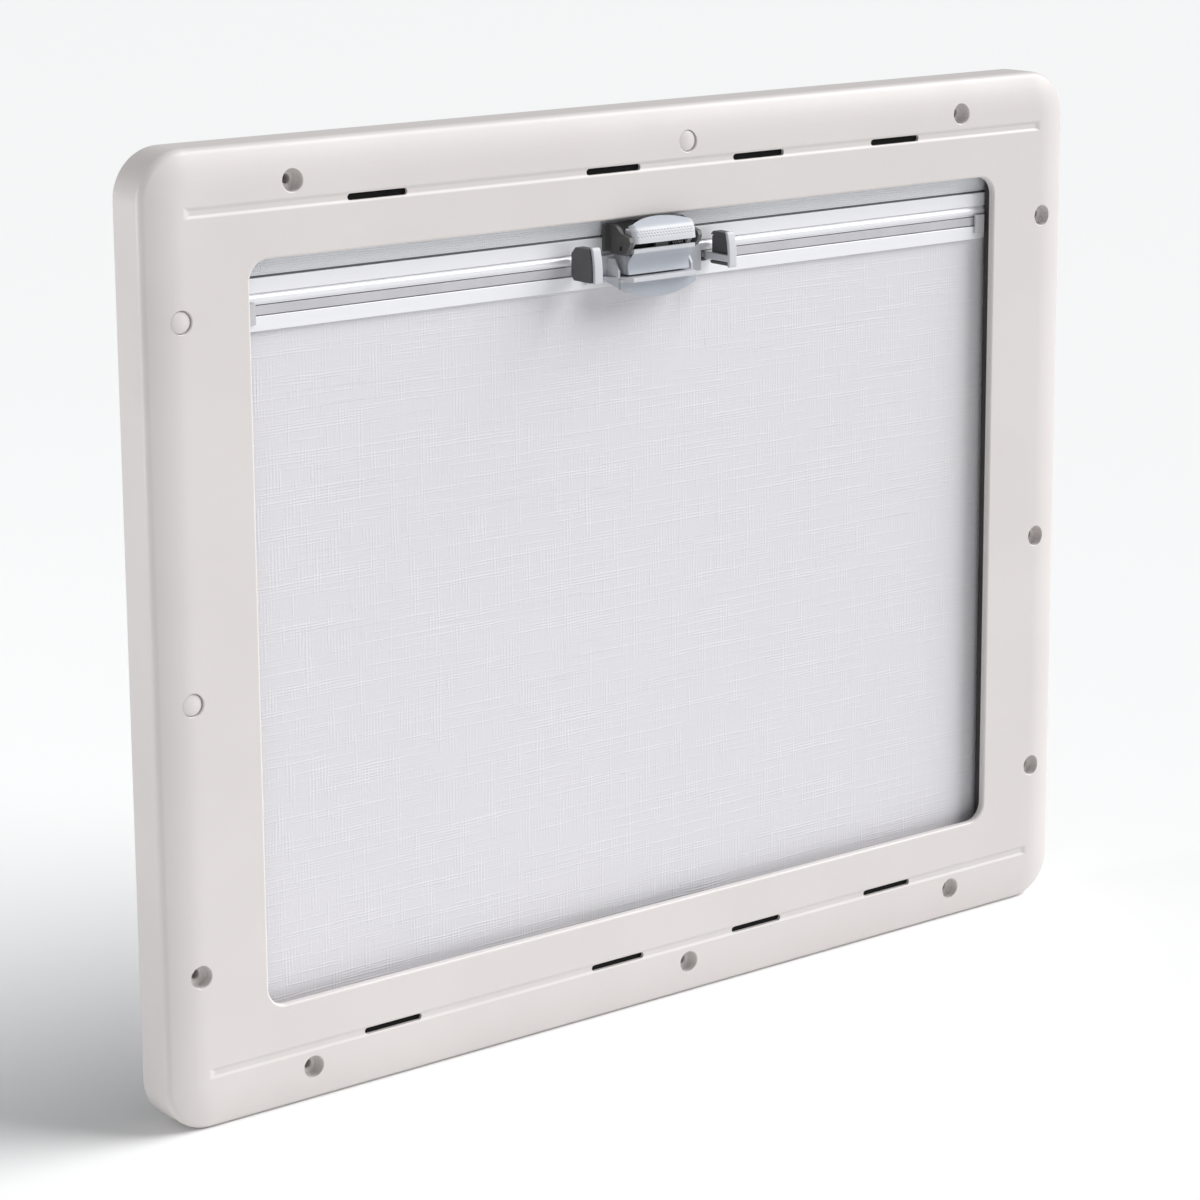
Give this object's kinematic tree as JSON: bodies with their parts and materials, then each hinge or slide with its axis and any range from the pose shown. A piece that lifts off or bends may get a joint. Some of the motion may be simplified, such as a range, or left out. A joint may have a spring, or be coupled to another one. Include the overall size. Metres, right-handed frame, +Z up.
{
  "type": "window blind cassette frame",
  "caption": "Rectangular screw-on window frame with a blackout blind and an insect screen on spring rollers, and a latching grip on their pull bars.",
  "frame": {"origin": "centre of the rectangle of the four corner wall screws, on the wall plane", "axes": "+X to the right seen from the room, +Y into the wall, +Z up"},
  "size_m": [0.584, 0.0392, 0.471],
  "materials": {
    "frame_plastic": "satin",
    "bar_finish": "satin white",
    "grip_plastic": "satin, fine texture",
    "dark_plastic": "satin",
    "soft_pad": "matt",
    "black_plastic": "satin",
    "seal_foam": "matt",
    "steel": "plain",
    "blackout_fabric": "coated linen weave",
    "insect_screen": "fine mesh"
  },
  "bodies": {
    "cassette": {"front_frame": "frame_plastic", "screw_caps": "frame_plastic", "slot_seals": "seal_foam", "left_rail": "black_plastic", "right_rail": "black_plastic", "rail_screws": "steel", "top_left_bracket": "black_plastic", "top_right_bracket": "black_plastic", "bottom_left_bracket": "black_plastic", "bottom_right_bracket": "black_plastic", "bottom_catch": "black_plastic", "screen_axle": "steel", "screen_spring": "steel", "blackout_axle": "steel", "blackout_spring": "steel", "screen_mesh": "insect_screen", "blackout_sheet": "blackout_fabric"},
    "screen_roller": {"screen_tube": "bar_finish", "screen_left_plug": "black_plastic", "screen_right_plug": "black_plastic", "screen_roll": "insect_screen"},
    "blackout_roller": {"blackout_tube": "bar_finish", "blackout_left_plug": "black_plastic", "blackout_right_plug": "black_plastic", "blackout_roll": "blackout_fabric"},
    "screen_carriage": {"screen_bar": "bar_finish", "screen_left_guide": "black_plastic", "screen_right_guide": "black_plastic", "screen_spline": "grip_plastic", "latch_bracket": "dark_plastic", "latch_pin": "steel", "latch_spring": "steel"},
    "latch_tilt": {"latch_lever": "grip_plastic"},
    "blackout_carriage": {"blackout_bar": "bar_finish", "blackout_left_guide": "black_plastic", "blackout_right_guide": "black_plastic", "blackout_spline": "grip_plastic", "grip_base": "grip_plastic", "lower_grip": "grip_plastic", "keeper_tooth": "dark_plastic", "left_release_spring": "steel", "right_release_spring": "steel"},
    "left_release": {"left_paddle": "grip_plastic", "left_pad": "soft_pad", "left_strip": "grip_plastic", "left_brake_shoe": "grip_plastic"},
    "right_release": {"right_paddle": "grip_plastic", "right_pad": "soft_pad", "right_strip": "grip_plastic", "right_brake_shoe": "grip_plastic"}
  },
  "joints": [
    {"name": "blackout_slide", "type": "slide", "parent": "cassette", "child": "blackout_carriage", "axis": [0, 0, 1], "range_m": [-0.326, 0], "deforming": ["blackout_sheet"]},
    {"name": "screen_slide", "type": "slide", "parent": "cassette", "child": "screen_carriage", "axis": [0, 0, 1], "range_m": [-0.326, 0], "deforming": ["screen_mesh"]},
    {"name": "blackout_roller_spin", "type": "hinge", "parent": "cassette", "child": "blackout_roller", "pos_m": [0, -0.0093, -0.196], "axis": [1, 0, 0], "range_deg": [0, 2447]},
    {"name": "screen_roller_spin", "type": "hinge", "parent": "cassette", "child": "screen_roller", "pos_m": [0, -0.0084, 0.196], "axis": [1, 0, 0], "range_deg": [0, 2634]},
    {"name": "latch_tilt_hinge", "type": "hinge", "parent": "screen_carriage", "child": "latch_tilt", "pos_m": [0, -0.031, 0.1675], "axis": [1, 0, 0], "range_deg": [-10, 0], "stiffness_Nm_per_rad": 0.08, "springref_deg": 14.32},
    {"name": "left_release_slide", "type": "slide", "parent": "blackout_carriage", "child": "left_release", "axis": [1, 0, 0], "range_m": [0, 0.0035], "stiffness_N_per_m": 500, "springref_m": -0.004, "deforming": ["left_release_spring"]},
    {"name": "right_release_slide", "type": "slide", "parent": "blackout_carriage", "child": "right_release", "axis": [-1, 0, 0], "range_m": [0, 0.0035], "stiffness_N_per_m": 500, "springref_m": -0.004, "deforming": ["right_release_spring"]}
  ],
  "couplings": [
    {"joint": "screen_slide", "follows": "blackout_slide", "ratio": 1},
    {"joint": "blackout_roller_spin", "follows": "blackout_slide", "rad_per_m": -131},
    {"joint": "screen_roller_spin", "follows": "blackout_slide", "rad_per_m": -141}
  ]
}
